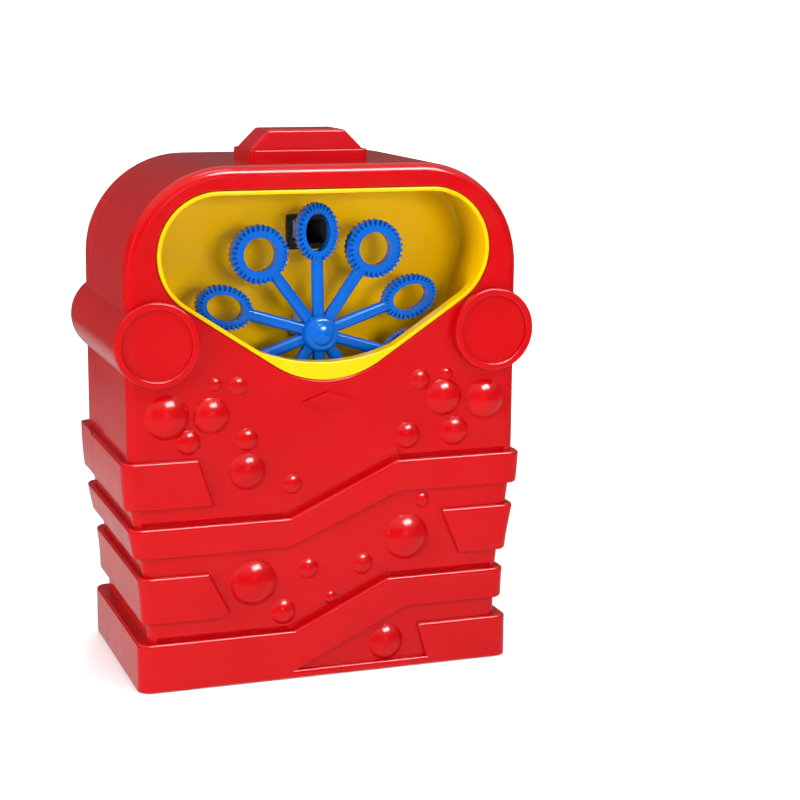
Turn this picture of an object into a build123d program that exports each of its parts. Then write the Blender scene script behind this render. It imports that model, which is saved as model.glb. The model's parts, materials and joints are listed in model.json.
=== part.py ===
from build123d import *
import math
import os

# A toy bubble machine: a two-part red casing around a yellow tray, in which a blue wand wheel turns
# through the bubble liquid and past the nozzle of a small blower.
# Frame: origin on the ground under the centre of the machine, +Z up, the front faces -Y.
# All sizes are in millimetres. Front-view outlines are drawn as (x, z).

# --- driving dimensions -----------------------------------------------------------------------
WALL = 2.5
FIT = 0.15                    # gap around a part that drops into an opening
RUN = 0.05                    # radial clearance of a turning fit

# casing
BODY_DEPTH = 85.0
LAMP_PROUD = 4.4              # how far the round front bosses stand out
OVERALL_DEPTH = BODY_DEPTH + LAMP_PROUD
LAMP_FRONT_Y = -OVERALL_DEPTH / 2
FACE_Y = LAMP_FRONT_Y + LAMP_PROUD
BACK_Y = OVERALL_DEPTH / 2
SEAM_Y = FACE_Y + 60.0
SEAM_GAP = 0.3
UNDERSIDE = 0.6               # the casing stands this high on its feet
BODY_TOP = 199.0
BODY_HALF = 77.5
SHOULDER_R = 40.0
WAIST_Z = 90.0                # the sides curve inwards from here down
ANKLE_Z = 24.0
ANKLE_HALF = 70.8
FRONT_EDGE_R = 4.0
BACK_EDGE_R = 9.0
INNER_FRONT_Y = FACE_Y + WALL
INNER_BACK_Y = BACK_Y - WALL

# raised bands round the lower casing
BAND_FRONT = 2.0
BAND_SIDE = 2.6
BASE_HALF = 75.2
BAND_EDGE_R = 1.2
BAND_CORNER_R = 4.5
REACH = 95.0                  # band outlines run out past the casing's sides

# round bosses like lamps
LAMP_X = 66.6
LAMP_Z = 134.2
LAMP_R = 16.2
LAMP_RING = 3.0
LAMP_DISH = 1.2               # depth of the dish inside the ring
LAMP_BACK = 2.0               # the bosses end this far short of the back

# opening in the front and the tray behind it
OPENING_X = 41.5
OPENING_Z = 166.0
OPENING_R = 24.0
OPENING_LOW_Z = 154.7
OPENING_LOW_R = 37.5
HUB_Z = 133.5
TRAY_WALL = 2.0
TRAY_FRONT_Y = INNER_FRONT_Y + 0.3
TRAY_BACK_Y = FACE_Y + 36.0   # outer face of the tray's back wall
TRAY_INNER_Y = TRAY_BACK_Y - TRAY_WALL
LIP = 1.6
LIP_PROUD = 0.5
TRAY_FLARE = 3.0
TROUGH_R = 53.5

# wand wheel
WANDS = 10
WAND_PITCH_R = 39.0
WAND_R = 11.25
WAND_HALF_WIDTH = 8.4
RING_Y = -30.3                # front of the rings
RING_DEPTH = 5.0
RING_TEETH = 32
TOOTH_DEPTH = 2.0
TOOTH_FRONT = 1.3             # the teeth stand this far in front of the ring behind them
TOOTH_RISE = 0.4              # and this far out from its rim
SPOKE_WIDTH = 4.6
HUB_R = 7.1
HUB_FRONT_Y = -33.3
HUB_BACK_Y = -23.8
HUB_EDGE_R = 2.6
WHEEL_START = 91.0            # angle of the upright wand
SHAFT_R = 1.5

# gear train behind the tray
MODULE = 0.5
BIG_TEETH = 42
SMALL_TEETH = 12
PRESSURE = math.radians(20)
BACKLASH = 0.14
GEAR_THICK = 2.5
GEAR_LAYER = 3.0
FIRST_LAYER_Y = -1.7
CASE_FRONT_Y = TRAY_BACK_Y + 0.2
CASE_WALL = 2.0
COVER_Y = 10.3
PIN_R = 1.0
CENTRES = MODULE * (BIG_TEETH + SMALL_TEETH) / 2

# wheel motor
MOTOR_R = 10.0
MOTOR_FLAT = 15.0
MOTOR_FRONT_Y = COVER_Y + CASE_WALL
MOTOR_LENGTH = 20.5
MOTOR_CAP = 4.5

# blower
NOZZLE_X = 2.5
NOZZLE_Z = 170.4
NOZZLE_W = 18.0
NOZZLE_H = 13.7
NECK = 2.0                    # the neck is this much smaller than the nozzle's flange
SCROLL_R = 18.0
SCROLL_Y = 21.0
BLOWER_WALL = 1.8
IMPELLER_R = 15.0
FAN_MOTOR_R = 12.0
FAN_MOTOR_H = 12.0

# batteries: four AA cells lying across the lower back
CELL_R = 7.2
CELL_LENGTH = 49.2
CELL_NUB = 1.3
CELL_PITCH = 15.0
CELLS = 4
CELLS_Z = 43.0
BOX_WALL = 1.8
BOX_HALF = 28.7
BOX_FLOOR_Y = 27.0
CELL_Y = BOX_FLOOR_Y + CELL_R + 0.15
BOX_LOW = CELLS_Z - 2 * CELL_PITCH - 0.1
BOX_HIGH = CELLS_Z + 2 * CELL_PITCH + 0.1
DOOR_THICK = 1.6
DOOR_LOW = 9.6
DOOR_HIGH = 84.4
DOOR_HALF = 31.6
DOOR_SCREW_Z = 79.2

# power button on top
BUTTON_HALF = 22.3
BUTTON_TOP_HALF = 15.2
BUTTON_TOP = 210.4
COLLAR_TOP = 203.0
COLLAR_HALF = 23.6
COLLAR_FRONT_Y = -17.6
COLLAR_BACK_Y = 9.4
COLLAR_EDGE_R = 0.6
BUTTON_FRONT_Y = -13.4
BUTTON_BACK_Y = 6.6
BUTTON_TRAVEL = 2.5
BUTTON_GAP = 0.25
STEM_Y = 2.4
STEM_R = 2.0

# fasteners and small parts
SCREW_R = 1.5
SMALL_SCREW_R = 1.1
FOOT_R = 6.0
FOOT_SINK = 1.0
FOOT_X = 56.0
FOOT_FRONT_Y = -28.0
FOOT_BACK_Y = 31.0
LEAD_R = 0.7

SWITCH_EAR_X = 9.5
SWITCH_TOP = 189.0
SWITCH_BOSS_R = 2.6
DOOR_POST_Y = 34.0            # the door screw's post reaches this far in
BOX_EAR = 2.0
BOX_EAR_X = 35.0
BOX_EAR_Z = 42.0
BOX_EAR_Y = 36.2

BLOWER_EAR_Y = -0.3           # the blower's ears rest on the tray's posts here

SHELL_POSTS = [(62.0, 183.5), (71.2, 102.0), (64.0, 6.8)]
TRAY_LUGS = [(-51.0, 98.0), (51.0, 98.0), (0.0, 70.0)]
GEARBOX_POSTS = [(-26.5, 96.0), (-26.5, 144.4), (29.5, 96.0), (29.5, 144.4)]
BLOWER_POSTS = [(19.5, 170.4), (-13.0, 157.6), (-20.0, 183.2)]

os.makedirs("parts", exist_ok=True)


def facing(y):
    """Plane seen from the front at depth y: sketch x is +X, sketch y is +Z."""
    return Plane.XZ.offset(-y)


def save(piece, name):
    piece.part.label = name
    export_step(piece.part, f"parts/{name}.step")


def mirrored(spots):
    return [(side * x, z) for x, z in spots for side in (-1, 1)]


# --- outlines used by several parts -----------------------------------------------------------
# Sides: straight to the waist, then two equal arcs that swing in to the ankle.
waist_drop = WAIST_Z - ANKLE_Z


def swing_radius(step):
    return (waist_drop**2 + step**2) / (4 * step)


def half_outline(half, ankle_half, floor, low_half):
    """Right-hand side from the shoulder down to the floor."""
    bend = math.degrees(2 * math.atan2(half - ankle_half, waist_drop))
    radius = swing_radius(half - ankle_half)
    upper = Line((half, BODY_TOP - SHOULDER_R), (half, WAIST_Z))
    inward = JernArc(upper @ 1, (0, -1), radius, -bend)
    outward = JernArc(inward @ 1, inward % 1, radius, bend)
    return Line(outward @ 1, (low_half, floor))


def casing_outline(inset):
    """Front-view outline of the casing, drawn in from all sides by inset."""
    half = BODY_HALF - inset
    ankle_half = ANKLE_HALF - inset
    with BuildSketch() as outline:
        with BuildLine():
            foot = half_outline(half, ankle_half, UNDERSIDE + inset, ankle_half)
            Line(foot @ 1, (0, UNDERSIDE + inset))
            crown = JernArc((half, BODY_TOP - SHOULDER_R), (0, 1), SHOULDER_R - inset, 90)
            Line(crown @ 1, (0, BODY_TOP - inset))
            mirror(about=Plane.YZ)
        make_face()
    return outline.sketch


body_outline = casing_outline(0)
inner_outline = casing_outline(WALL)

with BuildSketch() as upper_band_outline:
    with BuildLine():
        half = BODY_HALF + BAND_SIDE
        foot = half_outline(half, ANKLE_HALF + BAND_SIDE, UNDERSIDE, ANKLE_HALF + BAND_SIDE)
        Line(foot @ 1, (0, UNDERSIDE))
        Line((half, BODY_TOP - SHOULDER_R), (0, BODY_TOP - SHOULDER_R))
        mirror(about=Plane.YZ)
    make_face()

with BuildSketch() as opening_outline:
    with Locations((-OPENING_X, OPENING_Z), (OPENING_X, OPENING_Z)):
        Circle(OPENING_R)
    with Locations((0, OPENING_LOW_Z)):
        Circle(OPENING_LOW_R)
    make_hull()
    with Locations((0, OPENING_Z + OPENING_R)):
        Rectangle(2 * BODY_HALF, BODY_TOP, align=(Align.CENTER, Align.MAX), mode=Mode.INTERSECT)

lip_outline = offset(opening_outline.sketch, amount=-FIT - LIP)

# --- bands ------------------------------------------------------------------------------------
# Each band is a front-view outline cut from a slightly larger body, so it wraps round the sides.
WAVE_HIGH = [
    (-REACH, 64.6), (-15.3, 64.6), (28.0, 84.5), (REACH, 84.5),
    (REACH, 71.6), (29.0, 71.6), (-16.0, 52.6), (-REACH, 52.6),
]
WAVE_LOW = [
    (-40.0, 19.4), (-13.6, 19.4), (24.0, 37.3), (REACH, 37.3),
    (REACH, 24.7), (32.0, 24.7), (-20.0, 0.0), (-40.0, 0.0),
]
PAD_HIGH_LEFT = [(-REACH, 90.0), (-51.0, 90.0), (-45.0, 71.5), (-REACH, 71.5)]
PAD_LOW_LEFT = [(-REACH, 45.4), (-47.5, 45.4), (-39.3, 29.5), (-42.2, 27.0), (-REACH, 27.0)]
PAD_RIGHT = [(REACH, 63.2), (46.3, 63.2), (54.3, 44.5), (REACH, 44.5)]
BASE = [
    (-REACH, 19.4), (-13.6, 19.4), (-18.9, 3.4), (40.6, 3.4), (36.7, 17.3), (REACH, 17.3),
    (REACH, 0.0), (-REACH, 0.0),
]
UPPER_BANDS = [WAVE_HIGH, WAVE_LOW, PAD_HIGH_LEFT, PAD_LOW_LEFT, PAD_RIGHT]


def band_outline(is_base):
    """Front-view outline of the body that the bands are cut from, in the active sketch."""
    if is_base:
        with Locations((0, UNDERSIDE)):
            Rectangle(2 * BASE_HALF, WAIST_Z / 2, align=(Align.CENTER, Align.MIN))
    else:
        add(upper_band_outline.sketch)


def rim_edges(bands, skin):
    """Edges where a band's top, bottom or end meets the skin that it was cut from."""
    skin_edges = skin.edges()
    skin_faces = [f for f in skin.faces() if abs(f.normal_at().Z) < 0.5]
    seams = (SEAM_Y, SEAM_Y - SEAM_GAP, BACK_Y)
    chosen = ShapeList()
    for edge in bands.edges():
        middle = edge @ 0.5
        on_skin = any(face.distance_to(middle) < 0.001 for face in skin_faces)
        at_seam = any(abs(middle.Y - y) < 0.01 for y in seams)
        if on_skin and not at_seam and min(e.distance_to(middle) for e in skin_edges) > 0.2:
            chosen.append(edge)
    return chosen


def cut_bands(outlines, is_base, front_y, back_y, corner_edges):
    """Bands of one casing half, from front_y to back_y, with their edges rounded."""
    with BuildPart(mode=Mode.PRIVATE) as skin:
        with BuildSketch(facing(front_y)):
            band_outline(is_base)
        extrude(amount=front_y - back_y)
        corners = skin.edges().filter_by(lambda e: corner_edges(e @ 0.5) and abs((e % 0.5).Y) < 0.5)
        fillet(corners.filter_by(lambda e: abs((e @ 0.5).X) > BASE_HALF / 2), BAND_CORNER_R)
    with BuildPart(mode=Mode.PRIVATE) as bands:
        add(skin.part)
        with BuildSketch(facing(front_y)):
            for outline in outlines:
                Polygon(*outline, align=None)
        extrude(amount=front_y - back_y, mode=Mode.INTERSECT)
        rim = rim_edges(bands.part, skin.part)
        fillet(rim, BAND_EDGE_R)
    return bands.part


def on_front(point):
    return abs(point.Y - (FACE_Y - BAND_FRONT)) < 0.01


def on_back(point):
    return abs(point.Y - BACK_Y) < 0.01


front_bands = [
    cut_bands(UPPER_BANDS, False, FACE_Y - BAND_FRONT, SEAM_Y - SEAM_GAP, on_front),
    cut_bands([BASE], True, FACE_Y - BAND_FRONT, SEAM_Y - SEAM_GAP, on_front),
]
rear_bands = [
    cut_bands(UPPER_BANDS, False, SEAM_Y, BACK_Y, on_back),
    cut_bands([BASE], True, SEAM_Y, BACK_Y, on_back),
]

# --- front shell ------------------------------------------------------------------------------
# Bubbles moulded on the front: x, z and radius of each dome where it meets the face.
BUBBLES = [
    (-62.8, 106.4, 8.6), (-45.8, 106.0, 7.0), (-44.2, 117.9, 2.6), (-35.4, 116.8, 3.7),
    (-54.7, 96.4, 4.8), (-32.1, 96.0, 4.4), (-31.9, 83.7, 7.2), (-14.3, 77.5, 3.9),
    (64.7, 106.0, 8.0), (47.4, 107.8, 7.3), (37.3, 115.2, 4.2), (48.1, 116.9, 2.7),
    (51.9, 94.1, 5.8), (32.4, 93.5, 5.3), (-29.7, 39.8, 9.2), (-8.1, 43.5, 4.2),
    (-18.1, 27.2, 5.1), (1.0, 31.2, 2.5), (14.1, 43.5, 4.3), (32.3, 52.8, 9.1),
    (38.6, 67.3, 3.1), (23.9, 10.6, 7.2),
]
DOME_RISE = 0.47              # a dome's height over its radius
WAVE_EDGES = [[(-71.0, 64.6), (-15.3, 64.6), (28.0, 84.5), (71.0, 84.5)],
              [(-66.0, 19.4), (-13.6, 19.4), (24.0, 37.3), (66.0, 37.3)]]
DIP_DEPTH = 1.1
DIP_WIDE = 4.5
DIP_NARROW = 2.0
DIP_OVERRUN = 2.0             # the bevels run on past each corner, so that they meet there


def bubble_domes():
    for x, z, radius in BUBBLES:
        rise = DOME_RISE * radius
        ball = (radius**2 + rise**2) / (2 * rise)
        with Locations((x, FACE_Y + ball - rise, z)):
            Sphere(ball)


def dip_above_waves():
    """Shallow bevels where the face falls away just above each wave band."""
    for edge in WAVE_EDGES:
        for start, end in zip(edge, edge[1:]):
            along = Vector(end[0] - start[0], 0, end[1] - start[1])
            width = DIP_WIDE if abs(along.Z) > 1 else DIP_NARROW
            origin = Vector(start[0], FACE_Y, start[1]) - along.normalized() * DIP_OVERRUN
            plane = Plane(origin=origin, x_dir=(0, -1, 0), z_dir=along)
            rise = 1 if plane.y_dir.Z > 0 else -1
            with BuildPart(mode=Mode.PRIVATE) as dip:
                with BuildSketch(plane):
                    Polygon((0.5, -rise), (0.5, rise * width), (0, rise * width), (-DIP_DEPTH, 0),
                            (-DIP_DEPTH, -rise), align=None)
                extrude(amount=along.length + 2 * DIP_OVERRUN)
            add(dip.part, mode=Mode.SUBTRACT)


def lamp_boss(side, front_y, back_y, radius, mode):
    with BuildPart(mode=Mode.PRIVATE) as boss:
        with BuildSketch(facing(front_y)):
            with Locations((side * LAMP_X, LAMP_Z)):
                Circle(radius)
        extrude(amount=front_y - back_y)
    add(boss.part, mode=mode)


def post(x, z, front_y, back_y, radius, mode=Mode.ADD):
    """Round post or hole along Y."""
    with Locations(Location((x, front_y, z), (-90, 0, 0))):
        Cylinder(radius, back_y - front_y, align=(Align.CENTER, Align.CENTER, Align.MIN), mode=mode)


def edges_on_outline(part, outline, y):
    """Edges of a part that follow a front-view outline at depth y."""
    target = facing(y).from_local_coords(outline).edges()
    close = part.edges().filter_by(lambda e: abs((e @ 0.5).Y - y) < 0.01)
    return close.filter_by(lambda e: min(t.distance_to(e @ 0.5) for t in target) < 0.01)


POST_R = 4.0
POST_FRONT_Y = -3.0
BOSS_R = 3.5
LUG_Y = -33.0                 # front face of the tray's lugs
LUG_THICK = 2.4
LOZENGE_Z = 109.3
LOZENGE_HALF = 10.5
LOZENGE_RISE = 3.6
LOZENGE_PROUD = 1.3

front_back_y = SEAM_Y - SEAM_GAP
with BuildPart() as front_shell:
    with BuildSketch(facing(FACE_Y)):
        add(body_outline)
    extrude(amount=FACE_Y - front_back_y)
    fillet(front_shell.faces().sort_by(Axis.Y)[0].edges(), FRONT_EDGE_R)
    # opening for the tray
    with BuildSketch(facing(FACE_Y)):
        add(opening_outline.sketch)
    extrude(amount=-2 * WALL, mode=Mode.SUBTRACT)
    fillet(edges_on_outline(front_shell, opening_outline.sketch, FACE_Y), 0.8)
    dip_above_waves()
    for bands in front_bands:
        add(bands)
    for side in (-1, 1):
        lamp_boss(side, LAMP_FRONT_Y, front_back_y, LAMP_R, Mode.ADD)
        lamp_boss(side, LAMP_FRONT_Y, LAMP_FRONT_Y + LAMP_DISH, LAMP_R - LAMP_RING, Mode.SUBTRACT)
    lamp_rims = front_shell.edges().filter_by(lambda e: abs((e @ 0.5).Y - LAMP_FRONT_Y) < 0.01)
    fillet(lamp_rims, 0.8)
    bubble_domes()
    with BuildSketch(facing(FACE_Y)):
        with Locations((0, LOZENGE_Z)):
            Polygon((-LOZENGE_HALF, 0), (0, LOZENGE_RISE), (LOZENGE_HALF, 0), (0, -LOZENGE_RISE))
    extrude(amount=LOZENGE_PROUD)
    # raised collar round the power button
    with BuildSketch(Plane.XY.offset(BODY_TOP - WALL)):
        with Locations((0, (COLLAR_FRONT_Y + COLLAR_BACK_Y) / 2)):
            RectangleRounded(2 * COLLAR_HALF, COLLAR_BACK_Y - COLLAR_FRONT_Y, 2.5)
    extrude(amount=COLLAR_TOP - BODY_TOP + WALL)
    fillet(front_shell.faces().sort_by(Axis.Z)[-1].edges(), COLLAR_EDGE_R)
    with BuildSketch(Plane.XY.offset(BODY_TOP)):
        with Locations((0, (BUTTON_FRONT_Y + BUTTON_BACK_Y) / 2)):
            RectangleRounded(2 * (BUTTON_HALF + BUTTON_GAP),
                             BUTTON_BACK_Y - BUTTON_FRONT_Y + 2 * BUTTON_GAP, 1.4)
    extrude(amount=COLLAR_TOP, mode=Mode.SUBTRACT)
    # hollow
    with BuildSketch(facing(INNER_FRONT_Y)):
        add(inner_outline)
    extrude(amount=INNER_FRONT_Y - SEAM_Y, mode=Mode.SUBTRACT)
    for side in (-1, 1):
        lamp_boss(side, INNER_FRONT_Y, SEAM_Y, LAMP_R - WALL, Mode.SUBTRACT)
    # posts for the shell screws, fused to the walls behind the tray
    with BuildPart(mode=Mode.PRIVATE) as posts:
        for x, z in mirrored(SHELL_POSTS):
            post(x, z, POST_FRONT_Y, SEAM_Y, POST_R)
        with BuildSketch(facing(POST_FRONT_Y)):
            add(casing_outline(WALL / 2))
        extrude(amount=POST_FRONT_Y - SEAM_Y, mode=Mode.INTERSECT)
        for x, z in mirrored(SHELL_POSTS):
            post(x, z, POST_FRONT_Y + 3, SEAM_Y, SCREW_R, Mode.SUBTRACT)
    add(posts.part)
    # bosses that the tray is screwed to
    for x, z in TRAY_LUGS:
        post(x, z, INNER_FRONT_Y - 0.5, LUG_Y, BOSS_R)
        post(x, z, INNER_FRONT_Y + 0.5, LUG_Y, SMALL_SCREW_R, Mode.SUBTRACT)
    # push switch under the button: bosses and the stem's hole
    for x in (-SWITCH_EAR_X, SWITCH_EAR_X):
        with Locations((x, STEM_Y, SWITCH_TOP)):
            Cylinder(SWITCH_BOSS_R, BODY_TOP - WALL + 0.5 - SWITCH_TOP,
                     align=(Align.CENTER, Align.CENTER, Align.MIN))
            Cylinder(SMALL_SCREW_R, 5.0, align=(Align.CENTER, Align.CENTER, Align.MIN),
                     mode=Mode.SUBTRACT)
    with Locations((0, STEM_Y, BODY_TOP)):
        Cylinder(STEM_R + 0.3, 4 * WALL, mode=Mode.SUBTRACT)
    # pockets for the feet
    with Locations(*[(side * FOOT_X, FOOT_FRONT_Y, UNDERSIDE) for side in (-1, 1)]):
        Cylinder(FOOT_R + FIT, FOOT_SINK, align=(Align.CENTER, Align.CENTER, Align.MIN),
                 mode=Mode.SUBTRACT)
save(front_shell, "front_shell")

# --- rear shell -------------------------------------------------------------------------------
DOOR_CORNER = 3.0
SLOTS = 7
SLOT_W = 2.6
SLOT_H = 24.0
SLOT_PITCH = 6.0
SLOT_Z = 170.0
SCREW_SEAT_Y = 27.0           # the shell screws' heads sit this deep in their wells
HEAD_R = 3.0

with BuildPart() as rear_shell:
    with BuildSketch(facing(SEAM_Y)):
        add(body_outline)
    extrude(amount=SEAM_Y - BACK_Y)
    fillet(rear_shell.faces().sort_by(Axis.Y)[-1].edges(), BACK_EDGE_R)
    for bands in rear_bands:
        add(bands)
    for side in (-1, 1):
        lamp_boss(side, SEAM_Y, BACK_Y - LAMP_BACK, LAMP_R, Mode.ADD)
    with BuildPart(mode=Mode.PRIVATE) as hollow:
        with BuildSketch(facing(SEAM_Y)):
            add(inner_outline)
        extrude(amount=SEAM_Y - INNER_BACK_Y)
        fillet(hollow.faces().sort_by(Axis.Y)[-1].edges(), BACK_EDGE_R - WALL)
        for side in (-1, 1):
            lamp_boss(side, SEAM_Y, BACK_Y - LAMP_BACK - WALL, LAMP_R - WALL, Mode.ADD)
    add(hollow.part, mode=Mode.SUBTRACT)
    # posts with screw wells that open at the back
    with BuildPart(mode=Mode.PRIVATE) as posts:
        for x, z in mirrored(SHELL_POSTS):
            post(x, z, SEAM_Y, INNER_BACK_Y + 0.5, POST_R + 0.6)
        with BuildSketch(facing(SEAM_Y)):
            add(casing_outline(WALL / 2))
        extrude(amount=SEAM_Y - BACK_Y, mode=Mode.INTERSECT)
    add(posts.part)
    for x, z in mirrored(SHELL_POSTS):
        post(x, z, SEAM_Y, BACK_Y, SCREW_R + 0.1, Mode.SUBTRACT)
        post(x, z, SCREW_SEAT_Y, BACK_Y, HEAD_R + 0.3, Mode.SUBTRACT)
    # battery door's rebate and the mouth behind it
    door_middle = (DOOR_LOW + DOOR_HIGH) / 2
    with BuildSketch(facing(BACK_Y)):
        with Locations((0, door_middle)):
            RectangleRounded(2 * (DOOR_HALF + FIT), DOOR_HIGH - DOOR_LOW + 2 * FIT, DOOR_CORNER)
    extrude(amount=DOOR_THICK, mode=Mode.SUBTRACT)
    with BuildSketch(facing(BACK_Y)):
        with Locations((0, CELLS_Z)):
            Rectangle(2 * BOX_HALF, BOX_HIGH - BOX_LOW)
    extrude(amount=2 * WALL, mode=Mode.SUBTRACT)
    post(0, DOOR_SCREW_Z, DOOR_POST_Y, INNER_BACK_Y + 0.5, BOSS_R)
    post(0, DOOR_SCREW_Z, DOOR_POST_Y + 1.5, BACK_Y, SMALL_SCREW_R + RUN + 0.05, Mode.SUBTRACT)
    # bosses for the battery box's ears
    for side in (-1, 1):
        ear_x = side * BOX_EAR_X
        post(ear_x, BOX_EAR_Z, BOX_EAR_Y + BOX_EAR, INNER_BACK_Y + 0.5, BOSS_R - 0.5)
        post(ear_x, BOX_EAR_Z, BOX_EAR_Y + BOX_EAR, INNER_BACK_Y + 0.7, SMALL_SCREW_R, Mode.SUBTRACT)
    # air slots for the blower
    with BuildSketch(facing(BACK_Y)):
        with Locations((0, SLOT_Z)):
            with GridLocations(SLOT_PITCH, 1, SLOTS, 1):
                SlotOverall(SLOT_H, SLOT_W, rotation=90)
    extrude(amount=2 * WALL, mode=Mode.SUBTRACT)
    with Locations(*[(side * FOOT_X, FOOT_BACK_Y, UNDERSIDE) for side in (-1, 1)]):
        Cylinder(FOOT_R + FIT, FOOT_SINK, align=(Align.CENTER, Align.CENTER, Align.MIN),
                 mode=Mode.SUBTRACT)
save(rear_shell, "rear_shell")

# --- bubble tray ------------------------------------------------------------------------------
# Lip that shows in the opening, a wide cavity behind it, and a round trough below for the liquid.
SPILL_HALF = 37.0             # half-width of the low front wall's curved edge
SPILL_LOW_Z = 124.3
SPILL_HIGH_Z = 134.6
LUG_R = 4.2
BUSH_R = 4.0


def tray_outline(grow):
    """Cavity and trough together, grown by grow."""
    with BuildSketch() as outline:
        with Locations((-OPENING_X, OPENING_Z), (OPENING_X, OPENING_Z)):
            Circle(OPENING_R - FIT - LIP + TRAY_FLARE + grow)
        with Locations((0, HUB_Z)):
            Circle(TROUGH_R + grow)
        make_hull()
    return outline.sketch


def spill_hole():
    """The lip's clear opening, less the low front wall of the trough."""
    with BuildSketch() as hole:
        add(lip_outline)
        with BuildLine():
            left, middle, right = (-SPILL_HALF, SPILL_HIGH_Z), (0, SPILL_LOW_Z), (SPILL_HALF, SPILL_HIGH_Z)
            ThreePointArc(left, middle, right)
            Polyline(right, (SPILL_HALF, HUB_Z - TROUGH_R), (-SPILL_HALF, HUB_Z - TROUGH_R), left)
        make_face(mode=Mode.SUBTRACT)
    return hole.sketch


with BuildPart() as bubble_tray:
    with BuildSketch(facing(TRAY_FRONT_Y)):
        add(tray_outline(TRAY_WALL))
    extrude(amount=TRAY_FRONT_Y - TRAY_BACK_Y)
    fillet(bubble_tray.faces().sort_by(Axis.Y)[-1].edges(), 3.0)
    with BuildPart(mode=Mode.PRIVATE) as inside:
        with BuildSketch(facing(TRAY_FRONT_Y + TRAY_WALL)):
            add(tray_outline(0))
        extrude(amount=TRAY_FRONT_Y + TRAY_WALL - TRAY_INNER_Y)
        fillet(inside.faces().sort_by(Axis.Y)[-1].edges(), 2.0)
    add(inside.part, mode=Mode.SUBTRACT)
    with BuildSketch(facing(TRAY_FRONT_Y)):
        add(offset(opening_outline.sketch, amount=-FIT, mode=Mode.PRIVATE))
    extrude(amount=TRAY_FRONT_Y - FACE_Y + LIP_PROUD)
    with BuildSketch(facing(FACE_Y - LIP_PROUD)):
        add(spill_hole())
    extrude(amount=FACE_Y - LIP_PROUD - TRAY_FRONT_Y - TRAY_WALL, mode=Mode.SUBTRACT)
    fillet(bubble_tray.faces().sort_by(Axis.Y)[0].edges(), 0.6)
    # lugs for the screws to the front shell
    for x, z in TRAY_LUGS:
        inward = 10 / math.hypot(x, z - HUB_Z)
        root = (x * (1 - inward), z + (HUB_Z - z) * inward)
        with BuildPart(mode=Mode.PRIVATE) as lug:
            with BuildSketch(facing(LUG_Y)):
                with Locations((x, z), root):
                    Circle(LUG_R)
                make_hull()
                with Locations((x, z)):
                    Circle(SMALL_SCREW_R + 0.2, mode=Mode.SUBTRACT)
                with Locations((0, HUB_Z)):
                    Circle(TROUGH_R + 0.5, mode=Mode.SUBTRACT)
            extrude(amount=-LUG_THICK)
        add(lug.part)
    # posts behind the back wall for the gearbox and the blower
    for x, z in GEARBOX_POSTS:
        post(x, z, TRAY_BACK_Y - 0.5, COVER_Y, BOSS_R)
        post(x, z, TRAY_BACK_Y + 2, COVER_Y, SMALL_SCREW_R, Mode.SUBTRACT)
    for x, z in BLOWER_POSTS:
        post(x, z, TRAY_BACK_Y - 0.5, BLOWER_EAR_Y, BOSS_R)
        post(x, z, TRAY_BACK_Y - 0.9, BLOWER_EAR_Y, SMALL_SCREW_R, Mode.SUBTRACT)
    # shaft and nozzle holes
    post(0, HUB_Z, TRAY_INNER_Y - 1, TRAY_BACK_Y + 1, BUSH_R, Mode.SUBTRACT)
    with BuildSketch(facing(TRAY_BACK_Y)):
        with Locations((NOZZLE_X, NOZZLE_Z)):
            Rectangle(NOZZLE_W - NECK + 2 * FIT, NOZZLE_H - NECK + 2 * FIT)
    extrude(amount=2 * TRAY_WALL, both=True, mode=Mode.SUBTRACT)
save(bubble_tray, "bubble_tray")

# --- wand wheel -------------------------------------------------------------------------------
SPOKE_Y = -30.0
SPOKE_DEPTH = 4.4
SPOKE_START = 4.0
SPOKE_EDGE_R = 1.7
ROUND_HOLE_R = 6.5
OVAL_HOLE = (4.9, 7.3)


def toothed_oval(across, along):
    """Closed outline with small square teeth, across by along in half-sizes."""
    points = []
    pitch = 2 * math.pi / RING_TEETH
    for tooth in range(RING_TEETH):
        for part_way, depth in ((0.0, TOOTH_DEPTH), (0.40, TOOTH_DEPTH), (0.52, 0.0), (0.88, 0.0)):
            angle = (tooth + part_way) * pitch
            points.append(((along - depth) * math.cos(angle), (across - depth) * math.sin(angle)))
    Polygon(*points, align=None)


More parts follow.
